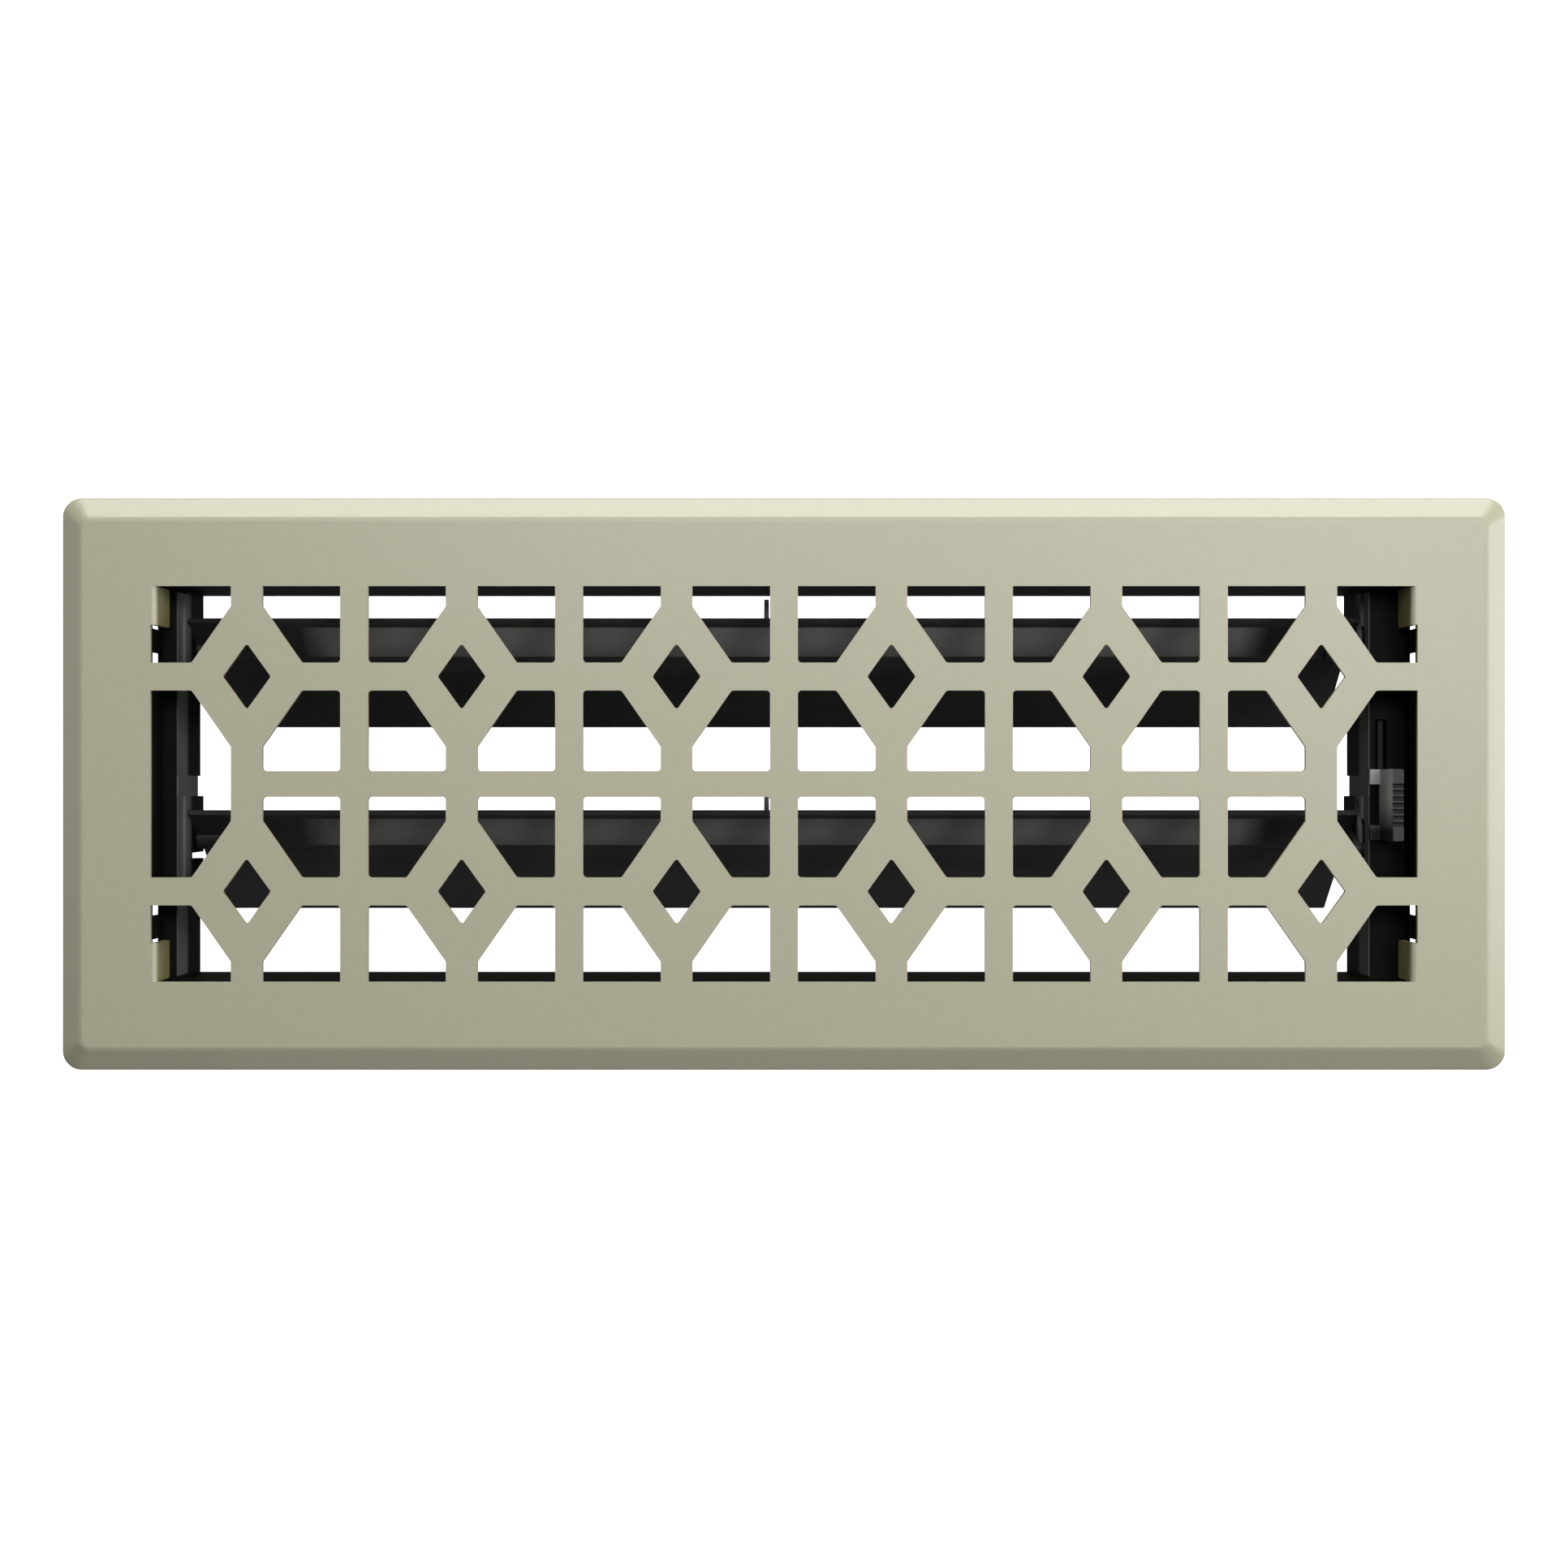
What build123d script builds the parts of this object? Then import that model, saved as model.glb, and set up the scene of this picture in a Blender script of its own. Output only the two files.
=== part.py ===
from build123d import *
from math import atan2, cos, pi, radians, sin, tan
import os

# Floor register for a nominal 4 x 12 inch duct opening, lying face up.
# A pierced steel faceplate holds a moulded damper frame by four bent tabs. Two louvers turn in
# the frame's end walls, and a thumb slide works them together through a link bar.
# X runs along the face, Y across it and Z up. The origin is at the middle of the floor plane
# that the faceplate's rim stands on. Sizes are in millimetres and angles in degrees.

# Faceplate
face_length = 349.25
face_width = 138.4
face_height = 5.0
sheet = 1.4
rim_lip = 1.3
rim_corner = 4.5
bevel_run = 5.3
flat_corner = 2.5
crown_round = 2.5
rim_round = 1.0
same_place = 0.01

# Pierced pattern
end_border = 22.225
opening_width = 95.25
columns = 6
rows = 2
column_inset = 23.15
row_pitch = 51.7
post_bar = 6.7
stem_bar = 7.6
arm_bar = 6.7
spine_bar = 6.2
ring_half_x = 15.6
ring_half_y = 22.35
lozenge_half_x = 5.8
lozenge_half_y = 8.05
cell_round = 0.9
lozenge_round = 0.6

# Tabs that hold the damper frame
tab_width = 9.3
tab_gap = 0.3
tab_corner = 0.6
tab_bend = 1.2
barb_width = 4.0
barb_height = 2.6
barb_reach = 0.9
barb_root = 0.2
barb_gap = 0.1

# Damper frame: a flange, two end pockets with a shelf each, and the box round the louvers
flange_thick = 1.8
flange_reach = 4.6
flange_corner = 3.0
frame_wall = 1.3
pocket_gap = 0.2
side_gap = 0.3
shelf_drop = 12.1
shelf_thick = 1.5
left_shelf = 3.6
right_shelf = 8.9
box_depth = 23.6
left_wall = 1.5
right_wall = 1.2
link_bay = 5.4
window_height = 9.9
window_gap = 0.7
spare_window_length = 8.6
spare_window_y = 27.7

# Louver bearings in the end walls
pivot_pitch = 47.7
pivot_offset = 10.4
pivot_drop = 17.6
journal_radius = 2.0
journal_clearance = 0.06
pad_thick = 0.8
pad_width = 20.8
pad_drop = 4.7
relief_offset = 4.6
relief_width = 1.6
relief_height = 12.0
notch_y = -0.5
notch_width = 5.1
notch_height = 2.6

# Louvers
rest_tilt = 54.0
swing_middle = 42.0
louver_thick = 1.5
louver_upper = 12.9
louver_lower = 33.9
louver_end_gap = 0.25
lip_width = 3.35
lip_rise = 1.0
step_start = 1.4
step_end = 5.9
step_height = 2.0
boss_radius = 3.0
boss_length = 6.0
rib_thick = 1.2
rib_depth = 9.0
rib_x = -4.4
rib_setback = 1.0

# Drive pegs, link bar and thumb slide
peg_radius = 1.25
peg_orbit = 12.0
peg_clearance = 0.5
arm_thick = 1.6
arm_tip = 2.3
link_gap = 1.5
link_thick = 1.4
link_rail = 3.4
link_lobe = 10.0
link_lobe_drop = 6.2
link_top_gap = 0.3
tongue_length = 5.0
tongue_thick = 0.9
tongue_rise = 1.2
tongue_gap = 0.05
knob_y = -5.1
knob_length = 17.4
knob_gap = 0.2
knob_foot = 1.1
knob_height = 12.9
knob_front = 0.1
knob_lean = 0.3
knob_back = 1.4
knob_leg_reach = 2.5
knob_leg_width = 3.7
knob_corner = 0.6
groove_count = 7
groove_pitch = 1.55
groove_radius = 0.55
slot_upper = 15.9
slot_lower = 13.6
slot_clearance = 1.0
guide_gap = 0.4
guide_drop = 2.3
guide_thick = 1.2

# Heights and places that follow from the sizes above
opening_length = face_length - 2 * end_border
column_pitch = (opening_length - 2 * column_inset) / (columns - 1)
flange_top = face_height - sheet
flange_bottom = flange_top - flange_thick
shelf_top = flange_top - shelf_drop
shelf_bottom = shelf_top - shelf_thick
box_bottom = shelf_top - box_depth
pocket_inside = opening_length / 2 + pocket_gap
pocket_outside = pocket_inside + frame_wall
air_left = left_shelf - pocket_inside
air_right = pocket_inside - right_shelf
air_width = opening_width + 2 * side_gap
box_width = air_width + 2 * frame_wall
box_left = air_left - left_wall
bay_left = air_right + right_wall
box_right = bay_left + link_bay
pivot_z = shelf_top - pivot_drop
pivots = {"rear": pivot_offset + pivot_pitch / 2, "front": pivot_offset - pivot_pitch / 2}
louver_left = air_left + pad_thick + louver_end_gap
louver_right = air_right - pad_thick - louver_end_gap
link_left = bay_left + link_gap
link_right = link_left + link_thick
link_top = shelf_bottom - link_top_gap
slot_left = link_left - slot_clearance
slot_right = link_right + guide_gap
slot_middle = (slot_upper - slot_lower) / 2
slot_length = slot_upper + slot_lower
knob_bottom = shelf_top + knob_gap
peg_swing = swing_middle - rest_tilt
link_travel_rate = peg_orbit * sin(radians(swing_middle)) / radians(swing_middle)
link_rest_shift = link_travel_rate * radians(peg_swing)


def save(builder, label):
    builder.part.label = label
    export_step(builder.part, f"parts/{label}.step")


os.makedirs("parts", exist_ok=True)

# Pierced pattern: each lozenge has a ring, a stem up and down and an arm left and right
with BuildSketch(Plane.XY.offset(face_height)) as vents:
    Rectangle(opening_length, opening_width)
    with GridLocations(column_pitch, row_pitch, columns - 1, 1):
        Rectangle(post_bar, opening_width, mode=Mode.SUBTRACT)
    with GridLocations(column_pitch, row_pitch, columns, 1):
        Rectangle(stem_bar, opening_width, mode=Mode.SUBTRACT)
    with GridLocations(column_pitch, row_pitch, 1, rows):
        Rectangle(opening_length, arm_bar, mode=Mode.SUBTRACT)
    Rectangle((columns - 1) * column_pitch, spine_bar, mode=Mode.SUBTRACT)
    with GridLocations(column_pitch, row_pitch, columns, rows):
        Polygon(
            (ring_half_x, 0), (0, ring_half_y), (-ring_half_x, 0), (0, -ring_half_y),
            mode=Mode.SUBTRACT,
        )
    stem_corner_y = ring_half_y * (1 - stem_bar / 2 / ring_half_x)
    stem_corners = [
        row_y + end * stem_corner_y
        for row_y in (-row_pitch / 2, row_pitch / 2)
        for end in (-1, 1)
    ]
    cell_corners = vents.vertices().filter_by(
        lambda v: abs(v.X) < opening_length / 2 - sheet
        and abs(v.Y) < opening_width / 2 - sheet
        and min(abs(v.Y - corner_y) for corner_y in stem_corners) > same_place
    )
    fillet(cell_corners, cell_round)

with BuildSketch(Plane.XY.offset(face_height)) as lozenges:
    with GridLocations(column_pitch, row_pitch, columns, rows):
        Polygon(
            (lozenge_half_x, 0), (0, lozenge_half_y), (-lozenge_half_x, 0), (0, -lozenge_half_y),
        )
    fillet(lozenges.vertices(), lozenge_round)

# Faceplate: a pressed pan with a bevelled border, pierced, with tabs bent down at the ends
bevel_angle = atan2(face_height - rim_lip, bevel_run)
rim_shift = sheet * tan((pi / 2 - bevel_angle) / 2)
crown_shift = sheet * tan(bevel_angle / 2)
flat_length = face_length - 2 * bevel_run
flat_width = face_width - 2 * bevel_run
tab_x = (opening_length - sheet) / 2
tab_y = (opening_width - tab_width) / 2
tab_bottom = shelf_top + tab_gap

with BuildPart() as faceplate:
    with BuildSketch():
        RectangleRounded(face_length, face_width, rim_corner)
    extrude(amount=rim_lip)
    with BuildSketch(Plane.XY.offset(rim_lip)):
        RectangleRounded(face_length, face_width, rim_corner)
    with BuildSketch(Plane.XY.offset(face_height)):
        RectangleRounded(flat_length, flat_width, flat_corner)
    loft(ruled=True)
    fillet(faceplate.edges().group_by(Axis.Z)[-1], crown_round)
    fillet(faceplate.edges().filter_by(lambda e: abs(e.center().Z - rim_lip) < same_place), rim_round)

    # The hollow underside, one sheet's thickness inside the pan
    with BuildSketch():
        RectangleRounded(face_length - 2 * sheet, face_width - 2 * sheet, rim_corner - sheet)
    extrude(amount=rim_lip - rim_shift, mode=Mode.SUBTRACT)
    with BuildSketch(Plane.XY.offset(rim_lip - rim_shift)):
        RectangleRounded(face_length - 2 * sheet, face_width - 2 * sheet, rim_corner - sheet)
    with BuildSketch(Plane.XY.offset(face_height - sheet)):
        RectangleRounded(flat_length - 2 * crown_shift, flat_width - 2 * crown_shift, flat_corner)
    loft(ruled=True, mode=Mode.SUBTRACT)

    # The pierced holes
    add(vents.sketch)
    add(lozenges.sketch)
    extrude(amount=-2 * sheet, mode=Mode.SUBTRACT)

    # Tabs, each with a barb that catches under the damper frame's flange
    with BuildSketch(Plane.XY.offset(tab_bottom)):
        with GridLocations(2 * tab_x, 2 * tab_y, 2, 2):
            Rectangle(sheet, tab_width)
    extrude(amount=face_height - tab_bottom)
    bend_edges = faceplate.edges().filter_by(Axis.Y).filter_by(
        lambda e: abs(abs(e.center().X) - tab_x + sheet / 2) < same_place
        and abs(e.center().Z - face_height) < same_place
    )
    fillet(bend_edges, tab_bend)
    tab_tips = faceplate.edges().filter_by(Axis.X).filter_by(
        lambda e: abs(e.center().Z - tab_bottom) < same_place
    )
    chamfer(tab_tips, tab_corner)
    for side in (-1, 1):
        tab_outside = side * opening_length / 2
        for end in (-1, 1):
            with BuildSketch(Plane(origin=(0, end * tab_y, 0), x_dir=(1, 0, 0), z_dir=(0, -1, 0))):
                Polygon(
                    (tab_outside - side * barb_root, flange_bottom - barb_gap),
                    (tab_outside + side * barb_reach, flange_bottom - barb_gap),
                    (tab_outside, flange_bottom - barb_height),
                    (tab_outside - side * barb_root, flange_bottom - barb_height),
                    align=None,
                )
            extrude(amount=barb_width / 2, both=True)
save(faceplate, "faceplate")

# Damper frame: flange, end pockets with their shelves, and the box with the louvers' bearings
with BuildPart() as damper_frame:
    with BuildSketch(Plane.XY.offset(flange_bottom)):
        RectangleRounded(
            2 * (pocket_outside + flange_reach), box_width + 2 * flange_reach, flange_corner
        )
    extrude(amount=flange_thick)
    with BuildSketch(Plane.XY.offset(shelf_bottom)):
        Rectangle(2 * pocket_outside, box_width)
    extrude(amount=flange_bottom - shelf_bottom)
    with BuildSketch(Plane.XY.offset(box_bottom)):
        with Locations(((box_left + box_right) / 2, 0)):
            Rectangle(box_right - box_left, box_width)
    extrude(amount=shelf_bottom - box_bottom)

    # Air way and end pockets: open above the shelves, and right through between the end walls
    with BuildSketch(Plane.XY.offset(shelf_top)):
        Rectangle(2 * pocket_inside, air_width)
    extrude(amount=shelf_drop, mode=Mode.SUBTRACT)
    with BuildSketch(Plane.XY.offset(box_bottom)):
        with Locations(((air_left + air_right) / 2, 0)):
            Rectangle(air_right - air_left, air_width)
    extrude(amount=box_depth, mode=Mode.SUBTRACT)

    # Bay for the link bar under the right shelf, open below and at the end
    with BuildSketch(Plane.XY.offset(box_bottom)):
        with Locations((bay_left + link_bay / 2, 0)):
            Rectangle(link_bay, air_width)
    extrude(amount=shelf_bottom - box_bottom, mode=Mode.SUBTRACT)

    # Guide rail beside the link bar
    with BuildSketch(Plane.XY.offset(shelf_bottom - guide_drop)):
        with Locations((slot_right + guide_thick / 2, slot_middle)):
            Rectangle(guide_thick, slot_length + 2 * guide_thick)
    extrude(amount=guide_drop + shelf_thick / 2)

    # Bearing pads inside both end walls, the rear pair as far as the rear wall
    pad_top = shelf_top - pad_drop
    front_pad = (pivots["front"] - pad_width / 2, pivots["front"] + pad_width / 2)
    rear_pad = (pivots["rear"] - pad_width / 2, air_width / 2)
    for pad_start, pad_end in (front_pad, rear_pad):
        pad_y = (pad_start + pad_end) / 2
        with BuildSketch(Plane.XY.offset(box_bottom)):
            with Locations((air_left + pad_thick / 2, pad_y), (air_right - pad_thick / 2, pad_y)):
                Rectangle(pad_thick, pad_end - pad_start)
        extrude(amount=pad_top - box_bottom)

    # Notch in the lower edge of both end walls, between the louvers
    with BuildSketch(Plane.YZ.offset(box_left)):
        with Locations((notch_y, box_bottom)):
            Rectangle(notch_width, 2 * notch_height)
    extrude(amount=bay_left - box_left, mode=Mode.SUBTRACT)

    # Journal holes, with reliefs each side so that the bearing springs open for the louver
    for pivot_y in pivots.values():
        for wall_start, wall_length in (
            (box_left, left_wall + pad_thick),
            (air_right - pad_thick, right_wall + pad_thick),
        ):
            with BuildSketch(Plane.YZ.offset(wall_start)):
                with Locations((pivot_y, pivot_z)):
                    Circle(journal_radius + journal_clearance)
                with Locations(
                    (pivot_y - relief_offset, box_bottom + relief_height / 2),
                    (pivot_y + relief_offset, box_bottom + relief_height / 2),
                ):
                    Rectangle(relief_width, relief_height)
            extrude(amount=wall_length, mode=Mode.SUBTRACT)

    # Curved slots that the drive pegs sweep
    for pivot_y in pivots.values():
        sweep_start = 90 - swing_middle
        peg_path = CenterArc(
            (pivot_y, pivot_z), peg_orbit, sweep_start, 2 * swing_middle, mode=Mode.PRIVATE
        )
        with BuildSketch(Plane.YZ.offset(air_right - pad_thick)):
            SlotArc(peg_path, 2 * (peg_radius + peg_clearance))
        extrude(amount=pad_thick + right_wall, mode=Mode.SUBTRACT)

    # Slot for the thumb slide, through the right shelf
    with BuildSketch(Plane.XY.offset(shelf_bottom - guide_drop)):
        with Locations(((slot_left + slot_right) / 2, slot_middle)):
            Rectangle(slot_right - slot_left, slot_length)
    extrude(amount=guide_drop + shelf_thick, mode=Mode.SUBTRACT)

    # Windows in the pockets' end walls: one behind each tab for its barb, and spare ones
    window_length = tab_width + window_gap
    with BuildSketch(Plane.XY.offset(flange_bottom - window_height)):
        with GridLocations(2 * pocket_inside + frame_wall, opening_width - window_length, 2, 2):
            Rectangle(frame_wall, window_length)
        with GridLocations(2 * pocket_inside + frame_wall, 2 * spare_window_y, 2, 2):
            Rectangle(frame_wall, spare_window_length)
    extrude(amount=window_height, mode=Mode.SUBTRACT)
save(damper_frame, "damper_frame")


def make_louver(label, pivot_y):
    """One moulded louver at its rest tilt, with its journals, drive peg and middle rib."""
    tilt = radians(rest_tilt)

    def section_plane(x):
        return Plane(origin=(x, pivot_y, pivot_z), x_dir=(0, cos(tilt), sin(tilt)), z_dir=(1, 0, 0))

    half = louver_thick / 2
    high = step_height / 4
    low = high - step_height
    centre_line = [
        (louver_upper, high + lip_rise),
        (louver_upper - lip_width, high),
        (-step_start, high),
        (-step_end, low),
        (-louver_lower, low),
    ]
    outline = [(u, v + half) for u, v in centre_line] + [(u, v - half) for u, v in reversed(centre_line)]
    peg_angle = radians(90 - peg_swing)
    peg_y = pivot_y + peg_orbit * cos(peg_angle)
    peg_z = pivot_z + peg_orbit * sin(peg_angle)

    with BuildPart() as louver:
        with BuildSketch(section_plane(louver_left)):
            Polygon(*outline, align=None)
        extrude(amount=louver_right - louver_left)

        # Journals at both ends, each with a boss inside
        for wall_end, blade_end, inwards in (
            (box_left, louver_left, 1),
            (air_right + right_wall, louver_right, -1),
        ):
            with BuildSketch(Plane.YZ.offset(wall_end)):
                with Locations((pivot_y, pivot_z)):
                    Circle(journal_radius)
            extrude(amount=blade_end - wall_end)
            with BuildSketch(Plane.YZ.offset(blade_end)):
                with Locations((pivot_y, pivot_z)):
                    Circle(boss_radius)
            extrude(amount=inwards * boss_length)

        # Drive arm with its peg
        with BuildSketch(Plane.YZ.offset(louver_right - arm_thick)):
            with Locations((pivot_y, pivot_z)):
                Circle(boss_radius)
            with Locations((peg_y, peg_z)):
                Circle(arm_tip)
            make_hull()
        extrude(amount=arm_thick)
        with BuildSketch(Plane.YZ.offset(louver_right)):
            with Locations((peg_y, peg_z)):
                Circle(peg_radius)
        extrude(amount=link_right - louver_right)

        # Rib under the middle of the louver
        with BuildSketch(section_plane(rib_x - rib_thick / 2)):
            Polygon(
                (louver_upper - lip_width + rib_setback, high),
                (louver_upper - lip_width - rib_setback, -rib_depth),
                (0, -rib_depth),
                (-2 * step_end, low),
                (-step_end, low),
                (-step_start, high),
                align=None,
            )
        extrude(amount=rib_thick)
    save(louver, label)


for name, pivot in pivots.items():
    make_louver(f"louver_{name}", pivot)

# Link bar: a rail under the shelf with a slotted lobe for each peg and a tongue for the slide
peg_low = pivot_z + peg_orbit * cos(radians(swing_middle)) - peg_radius - peg_clearance
peg_high = pivot_z + peg_orbit + peg_radius + peg_clearance
peg_slot_middle = (peg_low + peg_high) / 2
rear_slot_y = pivots["rear"] + link_rest_shift
front_slot_y = pivots["front"] + link_rest_shift
tongue_top = knob_bottom + tongue_rise

with BuildPart() as link_bar:
    with BuildSketch(Plane.YZ.offset(link_left)):
        with Locations(((rear_slot_y + front_slot_y) / 2, link_top - link_rail / 2)):
            Rectangle(pivot_pitch + link_lobe, link_rail)
        with Locations((rear_slot_y, link_top), (front_slot_y, link_top)):
            Rectangle(link_lobe, link_rail + link_lobe_drop, align=(Align.CENTER, Align.MAX))
        with Locations((rear_slot_y, peg_slot_middle), (front_slot_y, peg_slot_middle)):
            Rectangle(2 * (peg_radius + peg_clearance), peg_high - peg_low, mode=Mode.SUBTRACT)
    extrude(amount=link_thick)
    with BuildSketch(Plane.XY.offset(link_top - link_rail / 2)):
        with Locations((link_right - tongue_thick / 2, knob_y)):
            Rectangle(tongue_thick, tongue_length)
    extrude(amount=tongue_top - link_top + link_rail / 2)
save(link_bar, "link_bar")

# Thumb slide: an upright grip with cross grooves on top, on a foot with two legs
knob_left = link_left - knob_front
knob_right = link_right + knob_back
knob_top = knob_bottom + knob_height
grip_width = knob_right - knob_left - knob_lean
with BuildPart() as thumb_slide:
    with BuildSketch(Plane(origin=(0, knob_y, 0), x_dir=(1, 0, 0), z_dir=(0, -1, 0))):
        Polygon(
            (knob_left, knob_bottom),
            (knob_right, knob_bottom),
            (knob_right, knob_top),
            (knob_left + knob_lean, knob_top),
            (knob_left, knob_bottom + knob_foot),
            align=None,
        )
    extrude(amount=knob_length / 2, both=True)
    fillet(
        thumb_slide.edges().filter_by(Axis.Z).filter_by(
            lambda e: abs(e.center().X - knob_right) < same_place
        ),
        knob_corner,
    )
    with BuildSketch(Plane.XY.offset(knob_bottom)):
        with Locations((knob_left - knob_leg_reach / 2 + knob_foot / 2, knob_y)):
            with GridLocations(knob_leg_reach, knob_length - knob_leg_width, 1, 2):
                Rectangle(knob_leg_reach + knob_foot, knob_leg_width)
    extrude(amount=knob_foot)
    with BuildSketch(Plane.YZ.offset(knob_left)):
        with Locations((knob_y, knob_top)):
            with GridLocations(groove_pitch, groove_pitch, groove_count, 1):
                Circle(groove_radius)
    extrude(amount=knob_lean + grip_width, mode=Mode.SUBTRACT)

    # Socket for the link bar's tongue
    with BuildSketch(Plane.XY.offset(knob_bottom)):
        with Locations((link_right - tongue_thick / 2, knob_y)):
            Rectangle(tongue_thick + 2 * tongue_gap, tongue_length + 2 * tongue_gap)
    extrude(amount=tongue_rise + tongue_gap, mode=Mode.SUBTRACT)
save(thumb_slide, "thumb_slide")
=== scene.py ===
import math

import bpy
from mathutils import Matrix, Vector

# Floor register: powder-coated pierced faceplate over a black moulded damper frame.
# Everything is in metres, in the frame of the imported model: X along the face, Y across, Z up.

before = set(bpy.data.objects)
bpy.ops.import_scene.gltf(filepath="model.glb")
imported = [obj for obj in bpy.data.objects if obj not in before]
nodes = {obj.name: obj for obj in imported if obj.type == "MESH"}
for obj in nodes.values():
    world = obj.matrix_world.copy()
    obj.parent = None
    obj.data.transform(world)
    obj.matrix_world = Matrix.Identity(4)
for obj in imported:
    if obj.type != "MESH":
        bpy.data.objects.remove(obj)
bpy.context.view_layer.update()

# The photograph looks straight down on the face from this height
photo_side = 1932
focal_pixels = 3074
camera_height = 0.605
sensor_width = 36.0

# The pale floor lies just under the lowest point that the louvers reach
floor_height = -0.064
floor_side = 6.0
floor_white = (0.8, 0.8, 0.8, 1)

# Brightness of the studio below and above the horizon, and the heights it changes between
ground_glow = 0.15
sky_glow = 0.0
horizon_bottom = -0.15
horizon_top = 0.1
pure_white = (1, 1, 1, 1)

# Softboxes aimed at the middle of the face: place, width, height and watts
face_middle = (0, 0, 0)
softboxes = {
    "high_right": ((0.5, 0.2, 1.2), 0.42, 0.42, 4.3),
    "high_rear": ((-0.1, 0.36, 1.2), 0.36, 0.36, 4.0),
    "high_right_rear": ((0.3, 0.3, 1.0), 0.3, 0.3, 1.6),
    "high_left_rear": ((-0.4, 0.45, 0.9), 0.36, 0.36, 0.4),
    "low_rear": ((0.1, 1.4, 0.35), 1.8, 0.5, 27),
    "low_right": ((1.4, 0.1, 0.35), 0.5, 1.8, 18),
    "low_left": ((-1.4, 0.1, 0.35), 0.5, 1.8, 2.8),
    "low_front": ((0.3, -1.4, 0.35), 1.8, 0.5, 3.2),
}

# Powder coat: its colours, an olive painted shade, and the sizes and depths of its patterns
coat_dark = (0.349, 0.339, 0.242)
coat_light = (0.36, 0.35, 0.252)
# Olive painted shade for the cut edges of the cells and the tabs
painted_bounce_olive = (0.29, 0.255, 0.12)
coat_mottle_size = 0.0025
coat_cloud_size = 0.002
coat_smoothest = 0.34
coat_roughest = 0.42
peel_size = 0.0011
peel_depth = 0.00001
peel_strength = 0.6
speck_size = 0.0003
speck_depth = 0.000002
speck_strength = 0.5

# Moulded plastic: the painted light laid over it, and what all its pieces share
# Painted light on the end walls' upper bands and the panel between the louvers
end_wall_painted_light = (0.12, 0.12, 0.12)
# Painted light on the louvers' blades and their upper flaps
blade_painted_light = (0.05, 0.05, 0.049)
flap_painted_light = (0.21, 0.21, 0.203)
# Painted light on the slide's ridge tops
ridge_painted_light = (0.026, 0.026, 0.025)
# Painted light on the slide's front face and leg tops
slide_front_painted_light = (0.38, 0.38, 0.37)
plastic_cloud_size = 0.005
plastic_grain_strength = 0.7

# The part of a noise pattern's range that a colour changes over
mottle_low = 0.3
mottle_high = 0.7

# How softly one colour gives way to the next
crisp = 0.0001
very_crisp = 0.00005

# Where an olive painted shade, standing in for shade tinted by light bounced off the paint, is laid: on
# the cut edges of the cells and on the tabs
tab_depth = -0.02
cut_edge_top = 0.0045
field_half_length = 0.1526
field_half_width = 0.0482
cells_half_width = 0.0372
tab_bend_bottom = 0.0031

# Painted light on the louvers' upward-facing side, by the height of its normal and by its place; their
# ends are left dark as painted shade
upward_from = 0.3
upward_to = 2.0
upward_fade = 0.1
flap_low = -0.0275
flap_high = -0.0172
flap_half_length = 0.1176
flap_end_fade = 0.0035
step_fade = 0.0004
blade_middle = -0.0335
blade_fade = 0.003

# Painted light on the end walls: their lit upper bands, and the panel between the louvers
air_way_half_width = 0.0472
end_wall_left = -0.149
end_wall_right = 0.1437
end_pad = 0.001
end_wall_slack = 0.0003
wall_band_low = -0.0184
wall_band_high = -0.008
wall_band_fade = 0.0016
wall_panel_front = -0.00305
wall_panel_rear = 0.0021

# Painted light on the thumb slide's ridges and upright front face
ridge_bottom = 0.0043
ridge_top = 0.01
slide_left = 0.14
slide_front_face = 0.1466
slide_middle = -0.0075
slide_rear = 0.04
slide_fade = 0.004

# Edge roundings left out of the solids
punched_edge = 0.00028
moulded_edge = 0.00018
grip_edge = 0.00025
sharp_from = math.radians(32)

# The solids come as loose triangles: how near corners are joined, and how flat a face is
corner_gap = 0.000002
flat_within = math.radians(0.5)


def deselect_all():
    """Clear the selection, so that an operator acts on one new object alone."""
    bpy.ops.object.select_all(action="DESELECT")
    bpy.context.view_layer.objects.active = None


def make_material(name):
    """A node material, its node tree, its shader and its object coordinates."""
    material = bpy.data.materials.new(name)
    material.use_nodes = True
    tree = material.node_tree
    shader = tree.nodes["Principled BSDF"]
    place = tree.nodes.new("ShaderNodeTexCoord")
    return material, tree, shader, place.outputs["Object"]


def add_noise(tree, place, size, detail=2.0):
    """A noise pattern whose lumps are about size metres across."""
    noise = tree.nodes.new("ShaderNodeTexNoise")
    noise.inputs["Scale"].default_value = 1.0 / size
    noise.inputs["Detail"].default_value = detail
    tree.links.new(place, noise.inputs["Vector"])
    return noise.outputs["Fac"]


def add_bump(tree, shader, height, depth, strength, below=None):
    """Bump of a real depth in metres, laid over the bump below it where there is one."""
    bump = tree.nodes.new("ShaderNodeBump")
    bump.inputs["Distance"].default_value = depth
    bump.inputs["Strength"].default_value = strength
    tree.links.new(height, bump.inputs["Height"])
    if below is not None:
        tree.links.new(below, bump.inputs["Normal"])
    tree.links.new(bump.outputs["Normal"], shader.inputs["Normal"])
    return bump.outputs["Normal"]


def add_mottle(tree, pattern, dark, light):
    """Two colours blended by the middle of a noise pattern's range."""
    ramp = tree.nodes.new("ShaderNodeValToRGB")
    ends = ramp.color_ramp.elements
    for end, position, colour in ((ends[0], mottle_low, dark), (ends[1], mottle_high, light)):
        end.position = position
        end.color = (*colour, 1.0)
    tree.links.new(pattern, ramp.inputs["Fac"])
    return ramp.outputs["Color"]


def add_range(tree, factor, low, high):
    """A pattern from 0 to 1 brought to another range."""
    spread = tree.nodes.new("ShaderNodeMapRange")
    spread.inputs["To Min"].default_value = low
    spread.inputs["To Max"].default_value = high
    tree.links.new(factor, spread.inputs["Value"])
    return spread.outputs["Result"]


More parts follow.
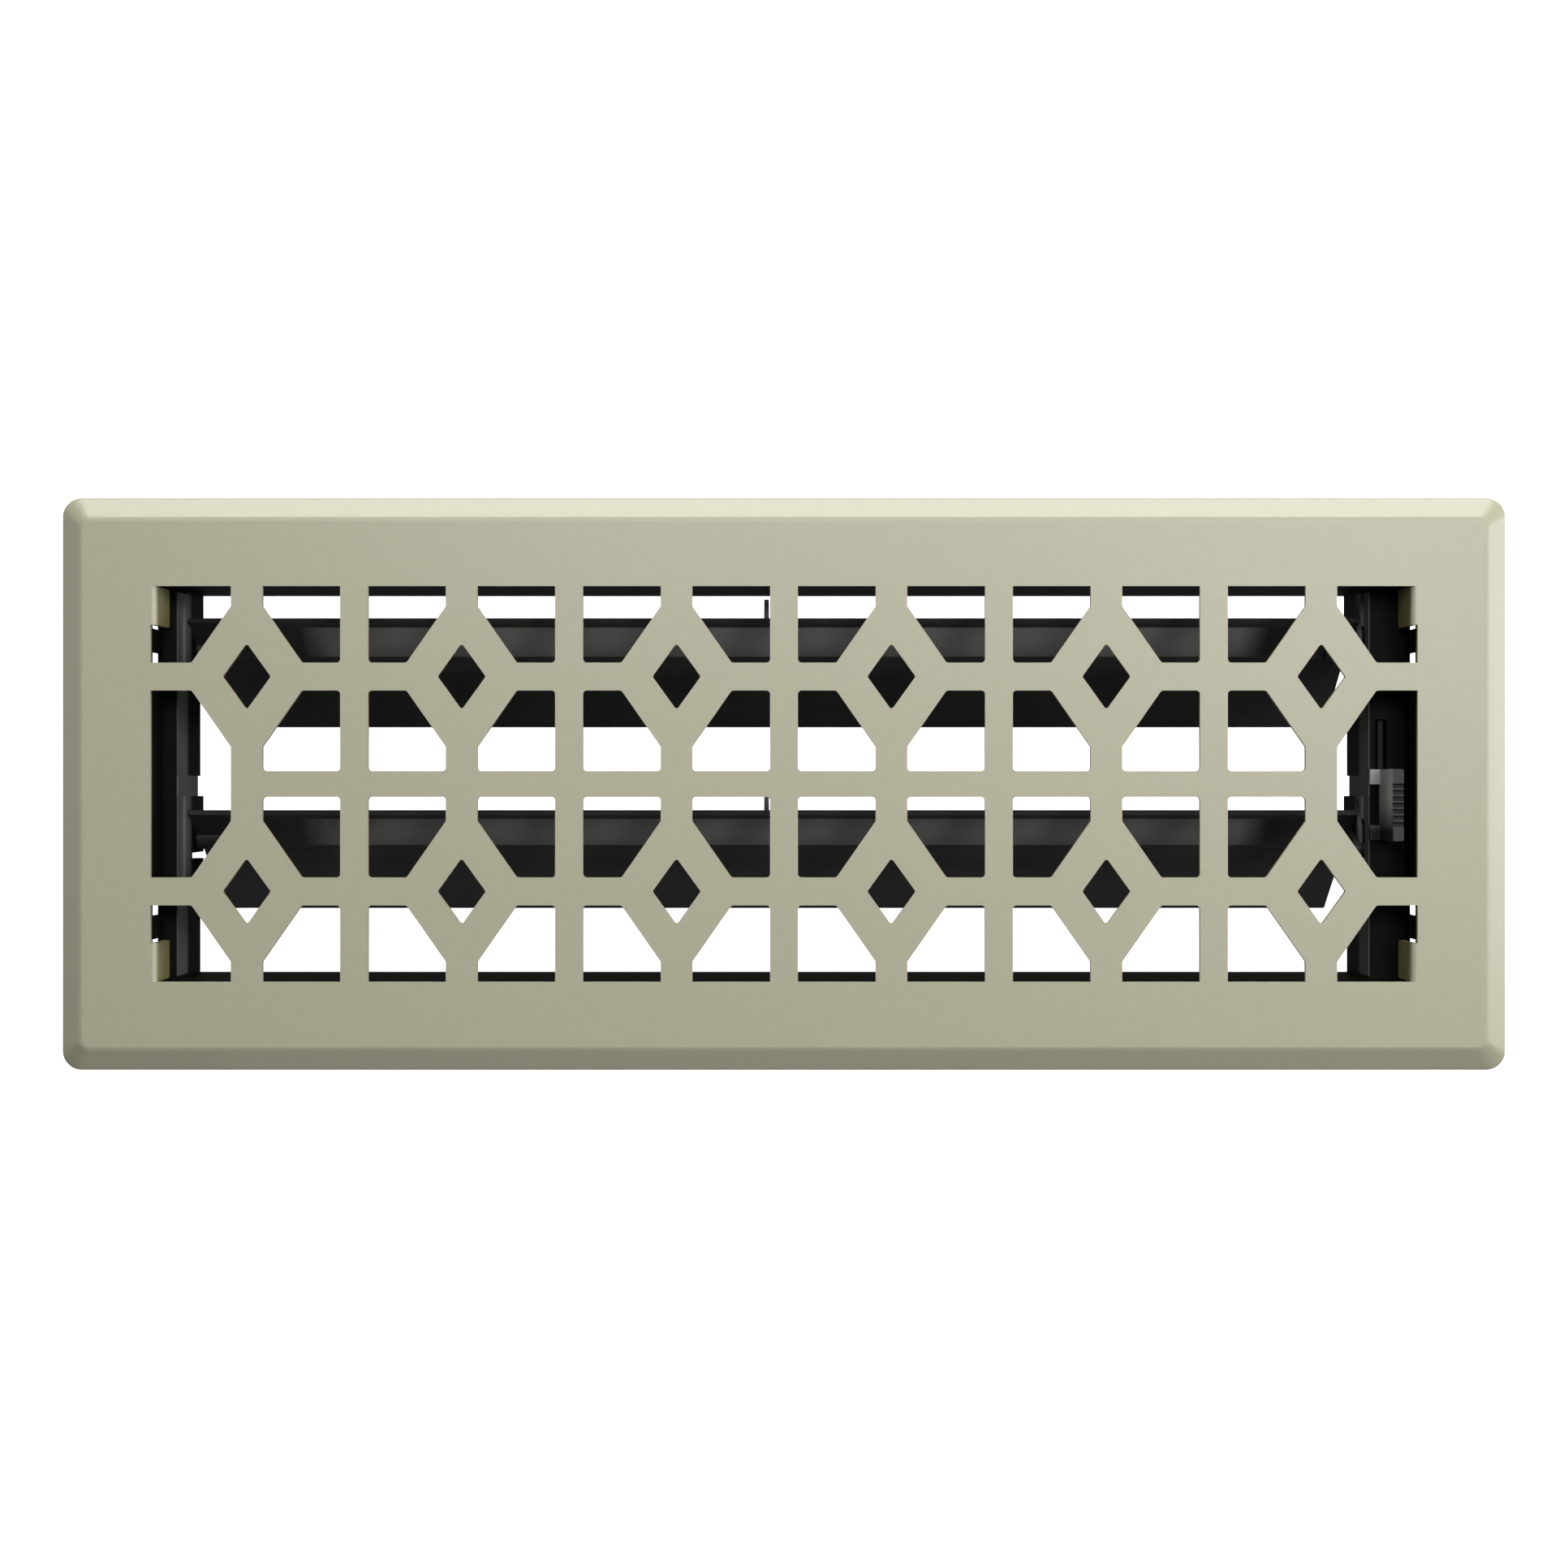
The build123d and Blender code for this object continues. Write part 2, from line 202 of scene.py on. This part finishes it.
def join_masks(tree, operation, joined, *others):
    """Masks joined in turn: MULTIPLY keeps what lies in all of them, MAXIMUM what lies in any."""
    for mask in others:
        join = tree.nodes.new("ShaderNodeMath")
        join.operation = operation
        tree.links.new(joined, join.inputs[0])
        tree.links.new(mask, join.inputs[1])
        joined = join.outputs["Value"]
    return joined


def add_band(tree, place, axis, start, end, soft=crisp):
    """A mask that is 1 between two places along an axis, and fades to 0 over a soft edge."""
    split = tree.nodes.new("ShaderNodeSeparateXYZ")
    tree.links.new(place, split.inputs[0])
    sides = []
    for outside, inside in ((start - soft, start + soft), (end + soft, end - soft)):
        ramp = tree.nodes.new("ShaderNodeMapRange")
        ramp.inputs["From Min"].default_value = outside
        ramp.inputs["From Max"].default_value = inside
        tree.links.new(split.outputs[axis], ramp.inputs["Value"])
        sides.append(ramp.outputs["Result"])
    return join_masks(tree, "MULTIPLY", *sides)


def lay_over(tree, mask, under, colour):
    """A plain colour laid over another through a mask."""
    mix = tree.nodes.new("ShaderNodeMix")
    mix.data_type = "RGBA"
    factor, first, second = (mix.inputs[index] for index in (0, 6, 7))
    tree.links.new(mask, factor)
    tree.links.new(under, first)
    second.default_value = (*colour, 1.0)
    return mix.outputs[2]


def painted_bounce_shade(tree, place):
    """Painted shade, tinted as by light bounced off the paint, on the cut edges of the cells and on the
    tabs below their bends.
    """
    field = add_band(tree, place, "X", -field_half_length, field_half_length)
    regions = []
    for top, half_width in ((cut_edge_top, cells_half_width), (tab_bend_bottom, field_half_width)):
        height = add_band(tree, place, "Z", tab_depth, top)
        across = add_band(tree, place, "Y", -half_width, half_width)
        regions.append(join_masks(tree, "MULTIPLY", height, across))
    return join_masks(tree, "MULTIPLY", field, join_masks(tree, "MAXIMUM", *regions))


def face_paint():
    """Satin powder coat in a warm grey sage, with faint mottling and orange peel, and an olive painted
    shade on the cut edges and tabs.
    """
    material, tree, shader, place = make_material("face_powder_coat")
    mottle = add_noise(tree, place, coat_mottle_size, detail=3.0)
    colour = add_mottle(tree, mottle, coat_dark, coat_light)
    # Olive painted shade laid on the cut edges and tabs
    colour = lay_over(tree, painted_bounce_shade(tree, place), colour, painted_bounce_olive)
    tree.links.new(colour, shader.inputs["Base Color"])
    cloud = add_noise(tree, place, coat_cloud_size)
    tree.links.new(add_range(tree, cloud, coat_smoothest, coat_roughest), shader.inputs["Roughness"])
    peel = add_noise(tree, place, peel_size, detail=1.0)
    under = add_bump(tree, shader, peel, peel_depth, peel_strength)
    specks = add_noise(tree, place, speck_size, detail=1.0)
    add_bump(tree, shader, specks, speck_depth, speck_strength, below=under)
    return material


def painted_louver_light(tree, place, low, high, soft):
    """Painted light on the upward-facing side of the louvers between two heights, fading out short of
    their ends, which stay dark as painted shade.
    """
    facing = tree.nodes.new("ShaderNodeTexCoord").outputs["Normal"]
    upward = add_band(tree, facing, "Z", upward_from, upward_to, soft=upward_fade)
    height = add_band(tree, place, "Z", low, high, soft=soft)
    along = add_band(tree, place, "X", -flap_half_length, flap_half_length, soft=flap_end_fade)
    return join_masks(tree, "MULTIPLY", upward, height, along)


def painted_flap_light(tree, place):
    """Painted light on the louvers' upper flap, between the step and the lip."""
    return painted_louver_light(tree, place, flap_low, flap_high, step_fade)


def painted_blade_light(tree, place):
    """Painted light on the upper part of the louvers' blades, below the step."""
    return painted_louver_light(tree, place, blade_middle, flap_low, blade_fade)


def lit_ridge_tops(tree, place):
    """Painted light on the tops of the thumb slide's ridges, above the grooves."""
    return add_band(tree, place, "Z", ridge_bottom, ridge_top)


def painted_slide_front_light(tree, place):
    """Painted light on the thumb slide's upright front face and the tops of its legs, fading to painted
    shadow towards the front.
    """
    across = add_band(tree, place, "Y", slide_middle, slide_rear, soft=slide_fade)
    front = add_band(tree, place, "X", slide_left, slide_front_face, soft=very_crisp)
    return join_masks(tree, "MULTIPLY", across, front)


def painted_end_wall_light(tree, place):
    """Painted light on the upper part of the air way's end walls, and on the panel between the louvers.
    """
    left = add_band(tree, place, "X", end_wall_left - end_wall_slack, end_wall_left + end_pad)
    right = add_band(tree, place, "X", end_wall_right - end_pad, end_wall_right + end_wall_slack)
    upper = add_band(tree, place, "Z", wall_band_low, wall_band_high, soft=wall_band_fade)
    panel = add_band(tree, place, "Y", wall_panel_front, wall_panel_rear, soft=very_crisp)
    inside = add_band(tree, place, "Y", -air_way_half_width, air_way_half_width)
    ends = join_masks(tree, "MAXIMUM", left, right)
    bands = join_masks(tree, "MAXIMUM", upper, panel)
    return join_masks(tree, "MULTIPLY", inside, ends, bands)


def moulded_plastic(name, shades, roughness, gloss, grain_size=0.0005, grain_depth=0.000004, painted_lights=()):
    """Black moulded plastic with a fine grain in it, and painted light laid over it where the masks say.
    """
    material, tree, shader, place = make_material(name)
    cloud = add_noise(tree, place, plastic_cloud_size, detail=3.0)
    dark, light = shades
    colour = add_mottle(tree, cloud, (dark,) * 3, (light,) * 3)
    # Painted light laid over the plastic's own colour
    for mask, light_colour in painted_lights:
        colour = lay_over(tree, mask(tree, place), colour, light_colour)
    tree.links.new(colour, shader.inputs["Base Color"])
    tree.links.new(add_range(tree, cloud, *roughness), shader.inputs["Roughness"])
    shader.inputs["Specular IOR Level"].default_value = gloss
    grain = add_noise(tree, place, grain_size)
    add_bump(tree, shader, grain, grain_depth, plastic_grain_strength)
    return material


def dress(node, material, edge):
    """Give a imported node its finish, and round its sharp edges by a small real radius."""
    piece = nodes[node]
    piece.data.materials.clear()
    piece.data.materials.append(material)
    piece.data.shade_smooth()
    weld = piece.modifiers.new("joined_corners", "WELD")
    weld.merge_threshold = corner_gap
    faces = piece.modifiers.new("whole_flat_faces", "DECIMATE")
    faces.decimate_type = "DISSOLVE"
    faces.angle_limit = flat_within
    rounding = piece.modifiers.new("rounded_edges", "BEVEL")
    rounding.width = edge
    rounding.segments = 2
    rounding.limit_method = "ANGLE"
    rounding.angle_limit = sharp_from
    rounding.use_clamp_overlap = True
    shading = piece.modifiers.new("flat_faces_stay_flat", "WEIGHTED_NORMAL")
    shading.mode = "FACE_AREA"
    shading.weight = 100


frame_black = moulded_plastic(
    "frame_plastic",
    shades=(0.003, 0.005),
    roughness=(0.55, 0.65),
    gloss=0.06,
    grain_size=0.0004,
    grain_depth=0.00001,
    # Painted light on the end walls
    painted_lights=[(painted_end_wall_light, end_wall_painted_light)],
)
louver_black = moulded_plastic(
    "louver_plastic",
    shades=(0.021, 0.027),
    roughness=(0.42, 0.52),
    gloss=0.24,
    # Painted light on the blades and flaps
    painted_lights=[(painted_blade_light, blade_painted_light), (painted_flap_light, flap_painted_light)],
)
link_black = moulded_plastic(
    "link_plastic",
    shades=(0.007, 0.01),
    roughness=(0.45, 0.55),
    gloss=0.12,
)
slide_black = moulded_plastic(
    "slide_plastic",
    shades=(0.01, 0.014),
    roughness=(0.4, 0.5),
    gloss=0.2,
    # Painted light on the ridge tops and on the front face
    painted_lights=[(lit_ridge_tops, ridge_painted_light), (painted_slide_front_light, slide_front_painted_light)],
)

dress("faceplate", face_paint(), punched_edge)
dress("damper_frame", frame_black, moulded_edge)
dress("louver_rear", louver_black, moulded_edge)
dress("louver_front", louver_black, moulded_edge)
dress("link_bar", link_black, moulded_edge)
dress("thumb_slide", slide_black, grip_edge)


def pale_floor():
    """A plain white floor that stays white where the part shades it."""
    deselect_all()
    bpy.ops.mesh.primitive_plane_add(size=floor_side, location=(0, 0, floor_height))
    floor = bpy.context.active_object
    floor.name = "pale_floor"
    material, _, shader, _ = make_material("floor_white")
    shader.inputs["Base Color"].default_value = floor_white
    shader.inputs["Roughness"].default_value = 1.0
    shader.inputs["Emission Color"].default_value = pure_white
    shader.inputs["Emission Strength"].default_value = 1.0
    floor.data.materials.append(material)
    floor.visible_diffuse = False
    floor.visible_glossy = False


def studio_walls():
    """The glow of the studio, brighter below the horizon than above it."""
    world = bpy.data.worlds.new("studio_walls")
    bpy.context.scene.world = world
    world.use_nodes = True
    tree = world.node_tree
    walls = tree.nodes["Background"]
    walls.inputs["Color"].default_value = pure_white
    direction = tree.nodes.new("ShaderNodeTexCoord")
    split = tree.nodes.new("ShaderNodeSeparateXYZ")
    tree.links.new(direction.outputs["Generated"], split.inputs[0])
    spread = tree.nodes.new("ShaderNodeMapRange")
    spread.inputs["From Min"].default_value = horizon_bottom
    spread.inputs["From Max"].default_value = horizon_top
    spread.inputs["To Min"].default_value = ground_glow
    spread.inputs["To Max"].default_value = sky_glow
    tree.links.new(split.outputs["Z"], spread.inputs["Value"])
    tree.links.new(spread.outputs["Result"], walls.inputs["Strength"])


def add_softbox(name, place, width, height, watts):
    """A rectangular studio light that faces the middle of the face."""
    light = bpy.data.lights.new(name, "AREA")
    light.shape = "RECTANGLE"
    light.size = width
    light.size_y = height
    light.energy = watts
    lamp = bpy.data.objects.new(name, light)
    lamp.location = place
    lamp.rotation_euler = (Vector(face_middle) - Vector(place)).to_track_quat("-Z", "Y").to_euler()
    lamp.visible_camera = False
    bpy.context.scene.collection.objects.link(lamp)


def photo_camera():
    """The photograph's own view, straight down on the face."""
    camera = bpy.data.cameras.new("photo_camera")
    camera.sensor_fit = "HORIZONTAL"
    camera.sensor_width = sensor_width
    camera.lens = focal_pixels / photo_side * sensor_width
    camera.clip_start = 0.01
    camera.clip_end = 20
    holder = bpy.data.objects.new("photo_camera", camera)
    holder.location = (0, 0, camera_height)
    bpy.context.scene.collection.objects.link(holder)
    bpy.context.scene.camera = holder


bpy.context.scene.view_settings.view_transform = "Standard"
pale_floor()
studio_walls()
for name, (place, width, height, watts) in softboxes.items():
    add_softbox(name, place, width, height, watts)
photo_camera()
